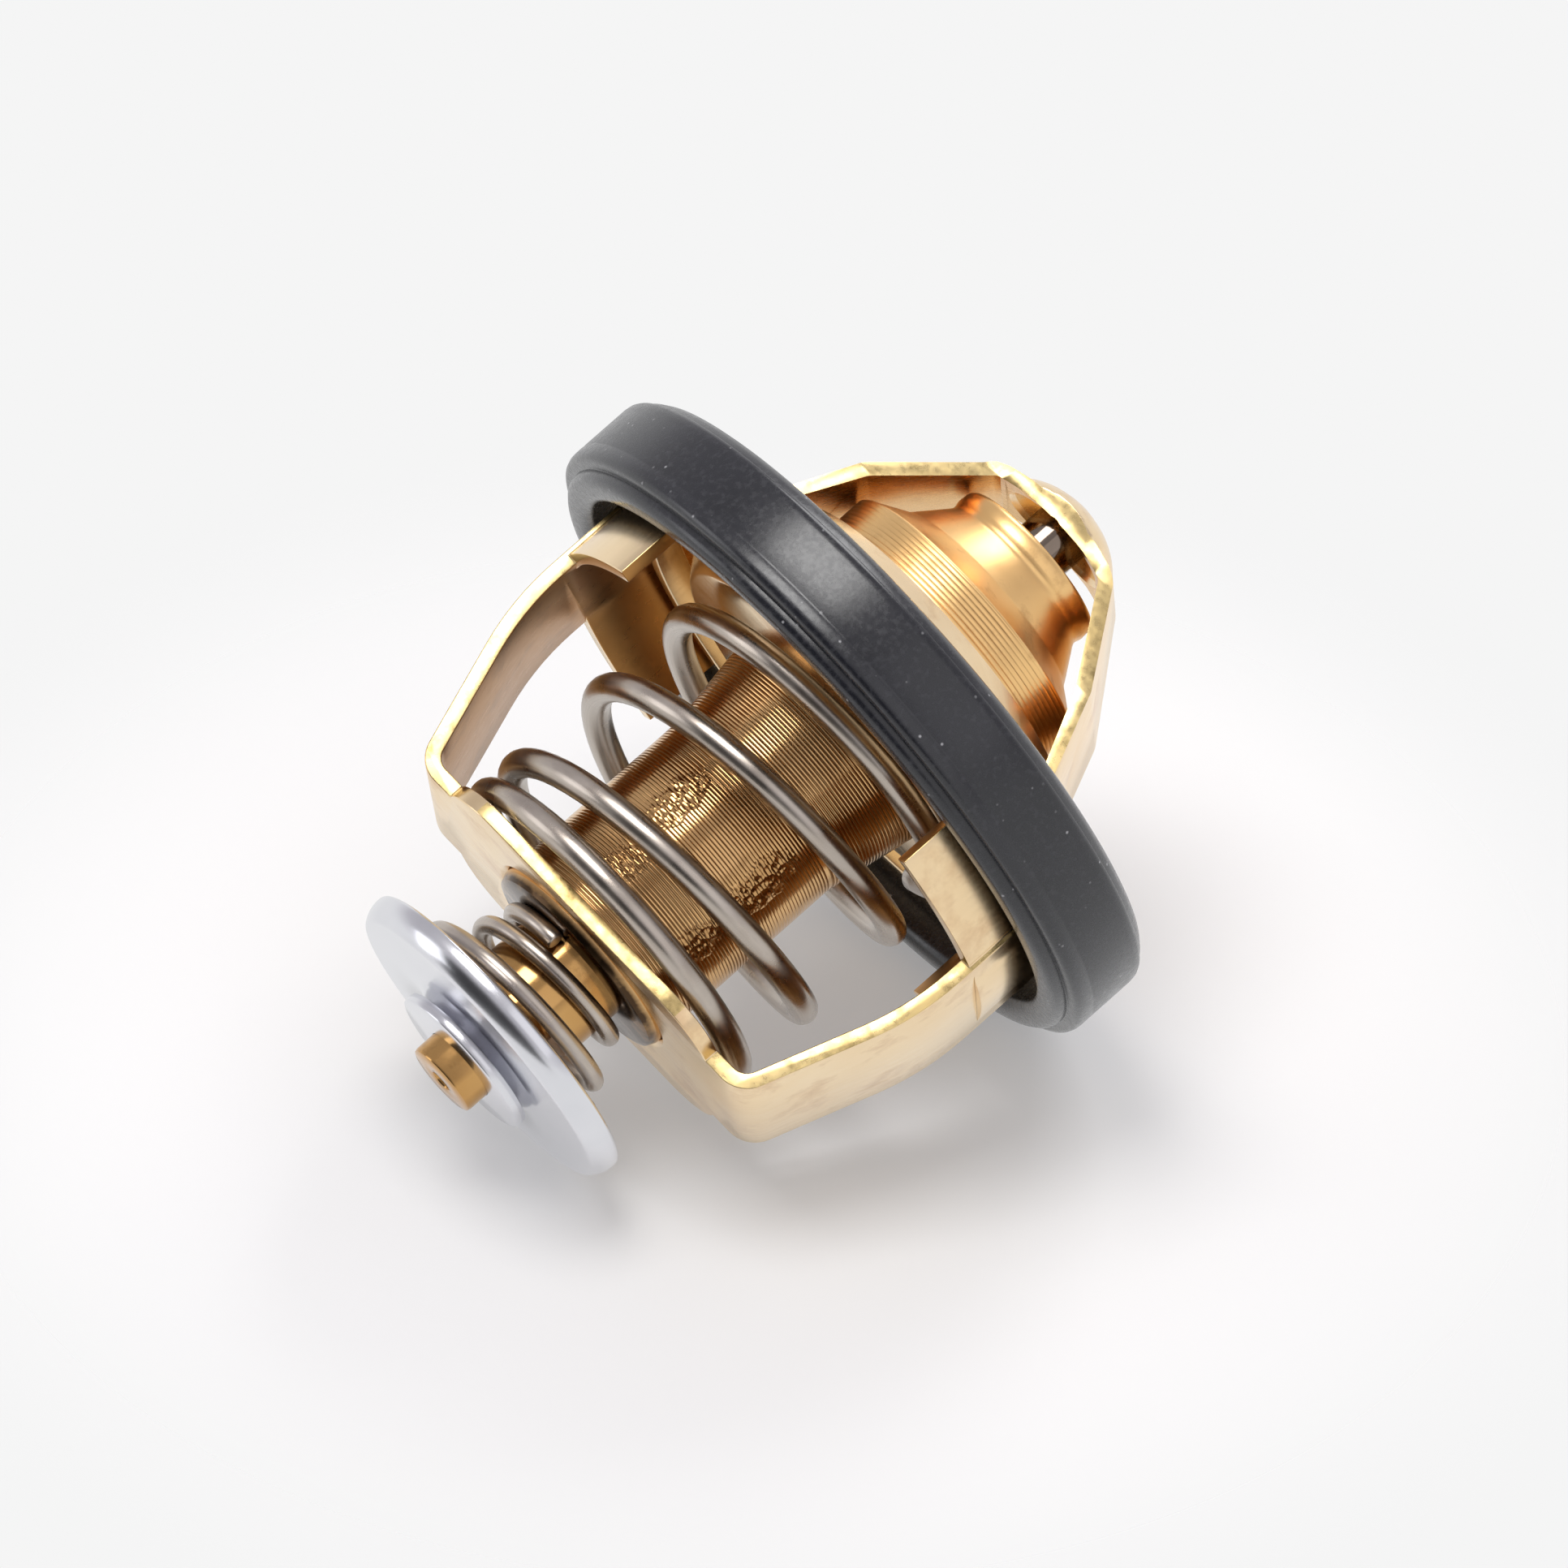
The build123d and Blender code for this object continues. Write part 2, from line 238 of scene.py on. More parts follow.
# moulded EPDM rubber: cool charcoal with a soft sheen, talc dust and a fine skin
def mouldedRubber(spec):
    mat, tree = newMaterial("moulded_epdm_rubber")
    spot = addNode(tree, "ShaderNodeTexCoord")
    here = {"Vector": (spot, "Object")}
    cloud = addNode(tree, "ShaderNodeTexNoise", {"Scale": spots(3.8), "Detail": 4.0}, here)
    tone = addNode(tree, "ShaderNodeMix",
                   {"data_type": "RGBA", 6: hexColour(spec["dark"]), 7: hexColour(spec["light"])},
                   {0: (cloud, "Fac")})
    film = addNode(tree, "ShaderNodeTexNoise",
                   {"Scale": spots(0.45), "Detail": 3.0, "Roughness": 0.6}, here)
    haze = addNode(tree, "ShaderNodeMapRange", {"From Min": 0.52, "From Max": 0.75, "To Max": 0.1},
                   {"Value": (film, "Fac")})
    dusty = addNode(tree, "ShaderNodeMix", {"data_type": "RGBA", 7: hexColour(spec["haze"])},
                    {0: (haze, "Result"), 6: (tone, 2)})
    grains = addNode(tree, "ShaderNodeTexVoronoi", {"Scale": spots(1.1), "Randomness": 1.0}, here)
    sparse = addNode(tree, "ShaderNodeTexNoise", {"Scale": spots(2.2), "Detail": 2.0}, here)
    near = addNode(tree, "ShaderNodeMapRange", {"From Min": 0.13, "From Max": 0.05},
                   {"Value": (grains, "Distance")})
    some = addNode(tree, "ShaderNodeMapRange", {"From Min": 0.48, "From Max": 0.6},
                   {"Value": (sparse, "Fac")})
    speck = addNode(tree, "ShaderNodeMath", {"operation": "MULTIPLY"},
                    {0: (near, "Result"), 1: (some, "Result")})
    colour = addNode(tree, "ShaderNodeMix", {"data_type": "RGBA", 7: hexColour(spec["dust"])},
                     {0: (speck, "Value"), 6: (dusty, 2)})
    rough = addNode(tree, "ShaderNodeMapRange",
                    {"From Min": 0.3, "From Max": 0.7, "To Min": 0.2, "To Max": 0.33},
                    {"Value": (film, "Fac")})
    # the real skin is about 0.05 mm, drawn at 0.4 mm so that it shows
    skin = addNode(tree, "ShaderNodeTexNoise", {"Scale": spots(0.4), "Detail": 3.0}, here)
    bump = addNode(tree, "ShaderNodeBump", {"Strength": 0.1, "Distance": 0.05 * mm},
                   {"Height": (skin, "Fac")})
    shader = addNode(tree, "ShaderNodeBsdfPrincipled",
                     {"IOR": 1.52, "Specular IOR Level": 0.62, "Sheen Weight": 0.06, "Sheen Roughness": 0.5},
                     {"Base Color": (colour, 2), "Roughness": (rough, "Result"), "Normal": (bump, "Normal")})
    addNode(tree, "ShaderNodeOutputMaterial", None, {"Surface": (shader, "BSDF")})
    return mat


# pressed sheet brass: satin yellow with faint rolled streaks and brown tarnish in patches
def pressedBrass(name, spec):
    mat, tree = newMaterial(name)
    spot = addNode(tree, "ShaderNodeTexCoord")
    here = {"Vector": (spot, "Object")}
    patch = addNode(tree, "ShaderNodeTexNoise", {"Scale": spots(6.5), "Detail": 4.0}, here)
    body = addNode(tree, "ShaderNodeMix",
                   {"data_type": "RGBA", 6: hexColour(spec["deep"]), 7: hexColour(spec["pale"])},
                   {0: (patch, "Fac")})
    stain = addNode(tree, "ShaderNodeTexNoise",
                    {"Scale": spots(spec["stainSize"]), "Detail": 5.0, "Roughness": 0.62}, here)
    amount = addNode(tree, "ShaderNodeMapRange",
                     {"From Min": 0.52, "From Max": 0.74, "To Max": spec["stainMost"]},
                     {"Value": (stain, "Fac")})
    colour = addNode(tree, "ShaderNodeMix", {"data_type": "RGBA", 7: hexColour(spec["tarnish"])},
                     {0: (amount, "Result"), 6: (body, 2)})
    # rolled streaks run along the strip; real ones are about 0.05 mm, drawn at 0.35 mm so that they show
    along = addNode(tree, "ShaderNodeMapping", {"Scale": spec["streak"]}, here)
    grain = addNode(tree, "ShaderNodeTexNoise", {"Scale": spots(0.35), "Detail": 2.0},
                    {"Vector": (along, "Vector")})
    rough = addNode(tree, "ShaderNodeMapRange",
                    {"From Min": 0.3, "From Max": 0.7, "To Min": spec["rough"][0],
                     "To Max": spec["rough"][1]},
                    {"Value": (grain, "Fac")})
    bump = addNode(tree, "ShaderNodeBump", {"Strength": spec["bump"], "Distance": 0.04 * mm},
                   {"Height": (grain, "Fac")})
    shader = addNode(tree, "ShaderNodeBsdfPrincipled", {"Metallic": 1.0},
                     {"Base Color": (colour, 2), "Roughness": (rough, "Result"), "Normal": (bump, "Normal")})
    addNode(tree, "ShaderNodeOutputMaterial", None, {"Surface": (shader, "BSDF")})
    return mat


# turned brass: golden to bronze satin with brown smudges; the cup has rough pressed patches and a dark end
# that is partly soot and partly painted shade
def turnedBrass(name, spec):
    mat, tree = newMaterial(name)
    spot = addNode(tree, "ShaderNodeTexCoord")
    here = {"Vector": (spot, "Object")}
    cloud = addNode(tree, "ShaderNodeTexNoise", {"Scale": spots(5.2), "Detail": 4.0}, here)
    colour = addNode(tree, "ShaderNodeMix",
                     {"data_type": "RGBA", 6: hexColour(spec["deep"]), 7: hexColour(spec["pale"])},
                     {0: (cloud, "Fac")})
    smear = addNode(tree, "ShaderNodeTexNoise",
                    {"Scale": spots(2.6), "Detail": 5.0, "Roughness": 0.65}, here)
    amount = addNode(tree, "ShaderNodeMapRange", {"From Min": 0.55, "From Max": 0.76, "To Max": 0.5},
                     {"Value": (smear, "Fac")})
    smudged = addNode(tree, "ShaderNodeMix", {"data_type": "RGBA", 7: hexColour(spec["smudge"])},
                      {0: (amount, "Result"), 6: (colour, 2)})
    last = (smudged, 2)
    rough = addNode(tree, "ShaderNodeMapRange",
                    {"From Min": 0.3, "From Max": 0.7, "To Min": spec["rough"][0],
                     "To Max": spec["rough"][1]},
                    {"Value": (smear, "Fac")})
    # tool marks are about 0.05 mm, drawn at 0.3 mm so that they show
    fine = addNode(tree, "ShaderNodeTexNoise", {"Scale": spots(0.3), "Detail": 2.0}, here)
    bump = addNode(tree, "ShaderNodeBump", {"Strength": 0.05, "Distance": 0.04 * mm},
                   {"Height": (fine, "Fac")})
    for degrees, z, halfWide, halfHigh in spec["stamps"]:
        angle = math.radians(degrees)
        side = (spec["radius"] * mm * math.cos(angle), spec["radius"] * mm * math.sin(angle), z * mm)
        turn = addNode(tree, "ShaderNodeMapping",
                       {"vector_type": "TEXTURE", "Location": side, "Rotation": (0, 0, angle),
                        "Scale": (spec["stampReach"] * mm, halfWide * mm, halfHigh * mm)}, here)
        ragged = addNode(tree, "ShaderNodeTexNoise", {"Scale": spots(1.4), "Detail": 3.0}, here)
        size = addNode(tree, "ShaderNodeVectorMath", {"operation": "LENGTH"}, {0: (turn, "Vector")})
        edge = addNode(tree, "ShaderNodeMath", {"operation": "ADD"},
                       {0: (size, "Value"), 1: (ragged, "Fac")})
        mask = addNode(tree, "ShaderNodeMapRange", {"From Min": 1.55, "From Max": 1.3},
                       {"Value": (edge, "Value")})
        pits = addNode(tree, "ShaderNodeTexVoronoi", {"Scale": spots(0.6)}, here)
        depth = addNode(tree, "ShaderNodeMath", {"operation": "MULTIPLY"},
                        {0: (mask, "Result"), 1: (pits, "Distance")})
        bump = addNode(tree, "ShaderNodeBump", {"Strength": 0.45, "Distance": 0.3 * mm},
                       {"Height": (depth, "Value"), "Normal": (bump, "Normal")})
        shade = addNode(tree, "ShaderNodeMath", {"operation": "MULTIPLY", 1: spec["stampShade"]},
                        {0: (mask, "Result")})
        darker = addNode(tree, "ShaderNodeMix", {"data_type": "RGBA", 7: hexColour(spec["stampColour"])},
                         {0: (shade, "Value"), 6: last})
        last = (darker, 2)
    # below a height the cup's end turns dark brown: soot together with painted shade on its bottom end
    if spec["shadeSootFrom"] is not None:
        split = addNode(tree, "ShaderNodeSeparateXYZ", None, {0: (spot, "Object")})
        low = addNode(tree, "ShaderNodeMapRange",
                      {"From Min": spec["shadeSootFrom"] * mm,
                       "From Max": (spec["shadeSootFrom"] - spec["shadeSootFade"]) * mm,
                       "To Max": spec["shadeSootMost"]},
                      {"Value": (split, "Z")})
        shadeAndDirt = addNode(tree, "ShaderNodeMath", {"operation": "MULTIPLY", "use_clamp": True},
                       {0: (low, "Result"), 1: (smear, "Fac")})
        shadeSooted = addNode(tree, "ShaderNodeMix", {"data_type": "RGBA", 7: hexColour(spec["shadeSootColour"])},
                        {0: (shadeAndDirt, "Value"), 6: last})
        last = (shadeSooted, 2)
    shader = addNode(tree, "ShaderNodeBsdfPrincipled", {"Metallic": 1.0},
                     {"Base Color": last, "Roughness": (rough, "Result"), "Normal": (bump, "Normal")})
    addNode(tree, "ShaderNodeOutputMaterial", None, {"Surface": (shader, "BSDF")})
    return mat


# plain metals: drawn stainless wire, ground steel and zinc plate, each with a faint cloud and fine marks
def plainMetal(name, spec):
    mat, tree = newMaterial(name)
    spot = addNode(tree, "ShaderNodeTexCoord")
    here = {"Vector": (spot, "Object")}
    cloud = addNode(tree, "ShaderNodeTexNoise", {"Scale": spots(spec["cloudSize"]), "Detail": 5.0}, here)
    colour = addNode(tree, "ShaderNodeMix",
                     {"data_type": "RGBA", 6: hexColour(spec["deep"]), 7: hexColour(spec["pale"])},
                     {0: (cloud, "Fac")})
    rough = addNode(tree, "ShaderNodeMapRange",
                    {"From Min": 0.3, "From Max": 0.7, "To Min": spec["rough"][0],
                     "To Max": spec["rough"][1]},
                    {"Value": (cloud, "Fac")})
    # marks of about 0.03 mm, drawn coarser so that they show
    fine = addNode(tree, "ShaderNodeTexNoise", {"Scale": spots(spec["markSize"]), "Detail": 3.0}, here)
    if spec["drawn"]:
        # streaks along the wire keep their distance from the coil's axis
        flatWay = addNode(tree, "ShaderNodeVectorMath", {"operation": "MULTIPLY", 1: (1, 1, 0)},
                          {0: (spot, "Object")})
        reach = addNode(tree, "ShaderNodeVectorMath", {"operation": "LENGTH"}, {0: (flatWay, "Vector")})
        split = addNode(tree, "ShaderNodeSeparateXYZ", None, {0: (spot, "Object")})
        slow = addNode(tree, "ShaderNodeMath", {"operation": "MULTIPLY", 1: spec["stretch"]},
                       {0: (split, "Z")})
        strand = addNode(tree, "ShaderNodeCombineXYZ", None, {"X": (reach, "Value"), "Z": (slow, "Value")})
        tree.links.new(strand.outputs["Vector"], fine.inputs["Vector"])
        colour = addNode(tree, "ShaderNodeMix",
                         {"data_type": "RGBA", "blend_type": "MULTIPLY", 0: spec["streakShare"]},
                         {6: (colour, 2), 7: (fine, "Fac")})
    bump = addNode(tree, "ShaderNodeBump", {"Strength": spec["bump"], "Distance": 0.05 * mm},
                   {"Height": (fine, "Fac")})
    shader = addNode(tree, "ShaderNodeBsdfPrincipled", {"Metallic": 1.0},
                     {"Base Color": (colour, 2), "Roughness": (rough, "Result"), "Normal": (bump, "Normal")})
    addNode(tree, "ShaderNodeOutputMaterial", None, {"Surface": (shader, "BSDF")})
    return mat


waxSpec = {"deep": "#b8925c", "pale": "#d2b27c"}


# cast paraffin wax: dull amber, slightly cloudy
def dullWax(spec):
    mat, tree = newMaterial("cast_paraffin_wax")
    spot = addNode(tree, "ShaderNodeTexCoord")
    cloud = addNode(tree, "ShaderNodeTexNoise", {"Scale": spots(4.2)}, {"Vector": (spot, "Object")})
    colour = addNode(tree, "ShaderNodeMix",
                     {"data_type": "RGBA", 6: hexColour(spec["deep"]), 7: hexColour(spec["pale"])},
                     {0: (cloud, "Fac")})
    shader = addNode(tree, "ShaderNodeBsdfPrincipled", {"Roughness": 0.6, "IOR": 1.44},
                     {"Base Color": (colour, 2)})
    addNode(tree, "ShaderNodeOutputMaterial", None, {"Surface": (shader, "BSDF")})
    return mat


# outer sheet, inner faces drawn darker as painted shade, underside drawn deeper gold as a painted reflection,
# and sheared edges of the pressed brass
sheetSpec = {"pale": "#fbe6c2", "deep": "#f2d2a2", "tarnish": "#c08c5e", "stainSize": 4.8, "stainMost": 0.5,
             "streak": (0.08, 1.0, 0.08), "rough": (0.2, 0.27), "bump": 0.03}
# the insides of the legs: a darker, browner brass that is painted shade and a painted reflection of the dark
# parts within; the stains on it are tarnish
innerShadeSpec = {"pale": "#c4935a", "deep": "#a8763e", "tarnish": "#75502a", "stainSize": 4.8, "stainMost": 0.6,
             "streak": (0.3, 1.0, 0.3), "rough": (0.27, 0.32), "bump": 0.015}
# the bridge's underside and insides: a deeper gold that is a painted reflection of the brass around it
underReflectionSpec = {"pale": "#f0c888", "deep": "#e0b06c", "tarnish": "#a8763e", "stainSize": 4.8, "stainMost": 0.5,
             "streak": (0.3, 1.0, 0.3), "rough": (0.24, 0.3), "bump": 0.02}
edgeSpec = {"pale": "#f2dca4", "deep": "#dcbc78", "tarnish": "#6f5a30", "stainSize": 1.9, "stainMost": 0.75,
            "streak": (0.6, 1.0, 0.6), "rough": (0.24, 0.4), "bump": 0.06}
# turned brass; a stamp is its angle, height, half width and half height
capMetal = {"pale": "#ffd898", "deep": "#f6c27e", "smudge": "#a8703c", "rough": (0.28, 0.38),
            "stamps": [], "shadeSootFrom": None}
stemMetal = {"pale": "#d8ad70", "deep": "#b28248", "smudge": "#6b4418", "rough": (0.1, 0.2),
             "stamps": [], "shadeSootFrom": None}
cupMetal = {"pale": "#ecc48c", "deep": "#cb9a62", "smudge": "#7a4a20", "rough": (0.13, 0.22), "radius": 8.0,
            "shadeSootFrom": -25.7, "shadeSootFade": 0.5, "shadeSootMost": 1.9, "shadeSootColour": "#4b3a2a",
            "stampReach": 2.5, "stampShade": 0.25, "stampColour": "#8a5a24",
            "stamps": [(-104, -14.6, 1.6, 3.0), (-40, -13.8, 1.6, 3.1),
                       (-97, -20.8, 1.5, 2.4), (-39.5, -20.6, 1.5, 2.4)]}
wireMetal = {"pale": "#ece2d7", "deep": "#c6b8aa", "cloudSize": 2.4, "rough": (0.24, 0.34), "markSize": 0.2,
             "bump": 0.1, "drawn": True, "stretch": 0.06, "streakShare": 0.55}
# the ground steel rod is tinted dark brown: a painted reflection of the brass and dark parts around the
# piston
rodSteelReflectionSpec = {"pale": "#94867a", "deep": "#75675b", "cloudSize": 3.3, "rough": (0.06, 0.12), "markSize": 0.38,
            "bump": 0.03, "drawn": False}
zincMetal = {"pale": "#e9e9ed", "deep": "#dcdde2", "cloudSize": 2.4, "rough": (0.18, 0.24), "markSize": 0.22,
             "bump": 0.03, "drawn": False}
rubber = mouldedRubber(rubberSpec)
sheetBrass = pressedBrass("pressed_sheet_brass", sheetSpec)
innerShadeBrass = pressedBrass("inner_sheet_brass_painted_shade", innerShadeSpec)
underReflectionBrass = pressedBrass("under_sheet_brass_painted_reflection", underReflectionSpec)
cutBrass = pressedBrass("sheared_brass_edge", edgeSpec)
capBrass = turnedBrass("turned_brass_cap", capMetal)
stemBrass = turnedBrass("turned_brass_stem", stemMetal)
cupBrass = turnedBrass("turned_brass_cup", cupMetal)
wireSteel = plainMetal("drawn_stainless_wire", wireMetal)
rodSteel = plainMetal("ground_steel_rod", rodSteelReflectionSpec)
zincSteel = plainMetal("zinc_plated_steel", zincMetal)
wax = dullWax(waxSpec)
print("materials made", len(bpy.data.materials))

# rubber ring over the flange rim, with rounded lips and a parting line
ringSpec = {
    "profile": [(23.3, 0.6), (25.64, 0.6), (25.64, -0.6), (23.3, -0.6), (23.3, -3.3), (23.42, -3.75),
                (23.8, -4.03), (24.3, -4.1), (24.95, -4.1), (25.4, -4.02), (25.72, -3.75), (25.82, -3.4),
                (25.84, -3.12), (25.95, -3.06), (26.5, -3.1), (26.82, -2.95), (26.97, -2.6), (27.0, -2.3),
                (27.0, -1.75), (26.965, -1.65), (26.965, -1.5), (27.0, -1.4), (27.0, 2.3), (26.94, 2.75),
                (26.8, 3.0), (26.72, 3.06), (26.62, 3.02), (26.3, 3.5), (25.8, 3.9), (25.2, 4.1), (24.2, 4.1),
                (23.6, 3.95), (23.3, 3.6)],
    "steps": 256, "sharp": 42,
}
sealRing = spinPiece("sealRing", ringSpec["profile"], ringSpec["steps"], ringSpec["sharp"])
setMaterial(sealRing, rubber)
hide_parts("flange_seal")
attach(sealRing, "frame")

# pressed brass pieces are rounded copies of their CAD nodes, and the bridge is shaped further
pressSpec = {"upper_bridge": ("bridgeStrap", "frame", 0.16), "lower_frame": ("stirrupFrame", "frame", 0.2),
             "flange_plate": ("flangeSheet", "frame", 0.15)}
crownSpec = {"half": 5.6, "top": 20.1, "depth": 2.0, "arch": 0.8, "domeFlat": 0.65, "domeWide": 0.2,
             "middle": 2.0, "blend": 1.3, "cuts": 6}
seatSpec = {"low": 1.7, "high": 7.0, "rise": 0.7, "foot": 0.6, "footTop": 2.4, "coneRadius": 20,
            "coneRun": 7.3, "coneRise": 5.3, "sheet": 1.1, "slack": 0.06, "level": 0.999}
faceSpec = {"cut": 0.93, "under": -0.4, "inner": -0.5, "innerFrom": 9.0}


# the mouth of the coned seat ends in a raised lip, and the seat is shaded as a true cone
def shapeSeat(obj, spec):
    mesh = obj.data
    slope = spec["coneRise"] / spec["coneRun"]
    gaps = []
    for v in mesh.vertices:
        inwards = spec["coneRadius"] - math.hypot(v.co.x, v.co.y) / mm
        gaps.append(v.co.z / mm - spec["foot"] - inwards * slope)
    thick = spec["sheet"] * math.hypot(1, slope)
    sides = {}
    for face in mesh.polygons:
        for side, gap in ((-1, 0), (1, thick)):
            if all(abs(gaps[i] - gap) < spec["slack"] for i in face.vertices):
                sides[face.index] = side
    for v in mesh.vertices:
        if -spec["slack"] < gaps[v.index] < thick + spec["slack"] and v.co.z < spec["high"] * mm:
            share = (v.co.z / mm - spec["low"]) / (spec["high"] - spec["low"])
            v.co.z += spec["rise"] * max(share, 0) * mm
    height = spec["coneRise"] + spec["rise"]
    length = math.hypot(height, spec["coneRun"])
    normals = [tuple(corner.vector) for corner in mesh.corner_normals]
    for face in mesh.polygons:
        level = abs(face.normal.z) > spec["level"] and face.center.z < spec["footTop"] * mm
        for corner in face.loop_indices:
            outwards = mesh.vertices[mesh.loops[corner].vertex_index].co.xy.normalized()
            if face.index in sides:
                normal = Vector((*(outwards * height), spec["coneRun"])) / length
                normals[corner] = tuple(normal * sides[face.index])
            elif level:
                normals[corner] = (0, 0, math.copysign(1, face.normal.z))
    mesh.normals_split_custom_set(normals)


# the bridge's top is pressed into a shallow arch with a low, wide dome
def crownBridge(obj, spec):
    makeActive(obj)
    bpy.ops.object.mode_set(mode="EDIT")
    for i in range(1 - spec["cuts"], spec["cuts"]):
        bpy.ops.mesh.select_all(action="SELECT")
        bpy.ops.mesh.bisect(plane_co=(i * spec["half"] / spec["cuts"] * mm, 0, 0), plane_no=(1, 0, 0))
    bpy.ops.object.mode_set(mode="OBJECT")
    for v in obj.data.vertices:
        x, y, z = v.co / mm
        if abs(x) < spec["half"] and z > spec["top"] - spec["depth"]:
            arch = spec["arch"] * (1 - (x / spec["half"]) ** 2)
            near = clamp((spec["half"] - math.hypot(x, y)) / spec["blend"])
            dome = max(z - spec["top"], 0) * (1 - spec["domeFlat"])
            v.co.x = x * (1 + spec["domeWide"] * near * min(abs(x) / spec["middle"], 1)) * mm
            v.co.z = (z + arch - dome) * mm


# the sheared edges have their own finish; the insides of the legs are drawn in painted shade, and the
# bridge's underside and insides in a painted reflection of brass
def markFaces(obj, node, spec):
    for face in obj.data.polygons:
        outwards = face.normal.x * math.copysign(1, face.center.x)
        inner = outwards < spec["inner"] and abs(face.center.x) > spec["innerFrom"] * mm
        if abs(face.normal.y) > spec["cut"]:
            face.material_index = 1
        elif node == "upper_bridge" and (inner or face.normal.z < spec["under"]):
            face.material_index = 3
        elif node == "lower_frame" and inner:
            face.material_index = 2


for node, (name, body, width) in pressSpec.items():
    piece = roundedCopy(node, name, width)
    if node == "upper_bridge":
        crownBridge(piece, crownSpec)
        shapeSeat(piece, seatSpec)
    setMaterial(piece, sheetBrass, cutBrass, innerShadeBrass, underReflectionBrass)
    if node in ("upper_bridge", "lower_frame"):
        markFaces(piece, node, faceSpec)
    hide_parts(node)
    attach(piece, body)
print("pressed pieces made")

# dished valve plate, closing on the seat from below
valveSpec = [(9.24, -1.8), (14.75, -1.8), (15.08, -1.7), (15.5, -1.3), (17.5, 1.2), (17.58, 1.34),
             (17.6, 1.5), (17.6, 2.05), (17.55, 2.2), (17.1, 2.6), (17.0, 2.65), (16.9, 2.62), (16.5, 2.3),
             (14.75, -0.4), (14.6, -0.55), (14.4, -0.6), (9.24, -0.6)]
valvePlate = spinPiece("valvePlate", valveSpec)
setMaterial(valvePlate, sheetBrass)
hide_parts("main_valve")
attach(valvePlate, "element")

# stepped guide cap with turned grooves
capSpec = {"pitch": 0.36, "depth": 0.034}
capProfile = [(9.24, -0.6), (11.2, -0.6)]
capProfile += grooved((11.2, 0.2), (11.2, 10.7), capSpec)
capProfile += [(11.17, 10.82), (11.08, 10.92), (10.95, 10.97), (8.5, 12.62), (8.33, 12.8), (6.62, 15.2),
               (6.48, 15.42), (6.42, 15.6), (6.42, 15.8), (6.46, 15.95), (6.52, 16.15), (6.54, 16.3),
               (6.5, 16.9), (6.42, 17.15), (6.27, 17.33), (6.05, 17.4), (2.43, 17.4), (2.43, 3.0),
               (10.4, 3.0), (10.4, 2.0), (9.24, 2.0)]
guideCap = spinPiece("guideCap", capProfile)
setMaterial(guideCap, capBrass)
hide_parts("element_guide")
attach(guideCap, "element")

# wax cup with turned grooves and a flared neck
cupSpec = {"pitch": 0.28, "depth": 0.026}
cupProfile = [(0, -26.6), (7.3, -26.6), (7.75, -26.45), (8.0, -25.9)]
cupProfile += grooved((8.0, -25.6), (8.0, -9.4), cupSpec)
cupProfile += grooved((8.04, -9.2), (9.15, -2.7), cupSpec)
cupProfile += [(9.2, -2.5), (9.2, 2.0), (7.2, 2.0), (7.2, -25.8), (0, -25.8)]
waxCup = spinPiece("waxCup", cupProfile)
setMaterial(waxCup, cupBrass)
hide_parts("element_cup")
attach(waxCup, "element")

# bypass stem with a turning centre in its tip
stemSpec = {
    "profile": [(0, -26.6), (4.6, -26.6), (4.6, -31.2), (4.4, -31.4), (2.85, -31.4), (2.85, -38.95),
                (2.78, -39.16), (2.6, -39.25), (1.0, -39.25), (0.86, -39.2), (0.8, -39.05), (0.8, -37.75),
                (0, -37.75)],
    "steps": 96,
}
stemRod = spinPiece("stemRod", stemSpec["profile"], stemSpec["steps"])
setMaterial(stemRod, stemBrass)
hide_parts("bypass_stem")
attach(stemRod, "element")

# bypass disc, whose edge rolls slowly under the rim and then quickly into the face
discSpec = {"rim": 12.5, "wallEnd": -34.239, "slow": 2.34, "fast": 0.45, "turns": (5.0, 40.0, 90.0),
            "steps": 8}
discRoll = [(discSpec["rim"], discSpec["wallEnd"])]
start, middle, end = (math.radians(turn) for turn in discSpec["turns"])
for radius, first, last in ((discSpec["slow"], start, middle), (discSpec["fast"], middle, end)):
    rollR, rollZ = discRoll[-1]
    for i in range(1, discSpec["steps"] + 1):
        turn = first + (last - first) * i / discSpec["steps"]
        discRoll.append((rollR - radius * (math.cos(first) - math.cos(turn)),
                         rollZ - radius * (math.sin(turn) - math.sin(first))))
discProfile = [(2.93, -36.5), (4.4, -36.5), (4.55, -36.44), (5.9, -35.76), (6.1, -35.7)] + discRoll[::-1]
discProfile += [(discSpec["rim"], -33.85), (12.42, -33.66), (12.25, -33.54), (12.05, -33.5), (2.93, -33.5)]
zincDisc = spinPiece("zincDisc", discProfile)
setMaterial(zincDisc, zincSteel)
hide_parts("bypass_disc")
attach(zincDisc, "bypass")

# stop washer under the disc
washerSpec = {
    "profile": [(2.89, -36.5), (5.8, -36.5), (5.92, -36.58), (5.95, -36.7), (5.95, -37.2), (5.9, -37.34),
                (5.75, -37.4), (2.89, -37.4)],
    "steps": 120,
}
zincWasher = spinPiece("zincWasher", washerSpec["profile"], washerSpec["steps"])
setMaterial(zincWasher, zincSteel)
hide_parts("stop_washer")
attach(zincWasher, "element")
print("turned pieces made")

# coil springs, each given a mesh of its own
mainCoil = {"low": 13.125, "high": 13.125, "bottom": -24.6, "top": -1.8, "wire": 2.15, "turns": 4.0,
            "start": 45.0, "restLow": 0.23, "restHigh": 0.07}
valveSpring = coilPiece("valveSpring", mainCoil)
setMaterial(valveSpring, wireSteel)
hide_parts("main_spring")
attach(valveSpring, "frame")
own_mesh(valveSpring)

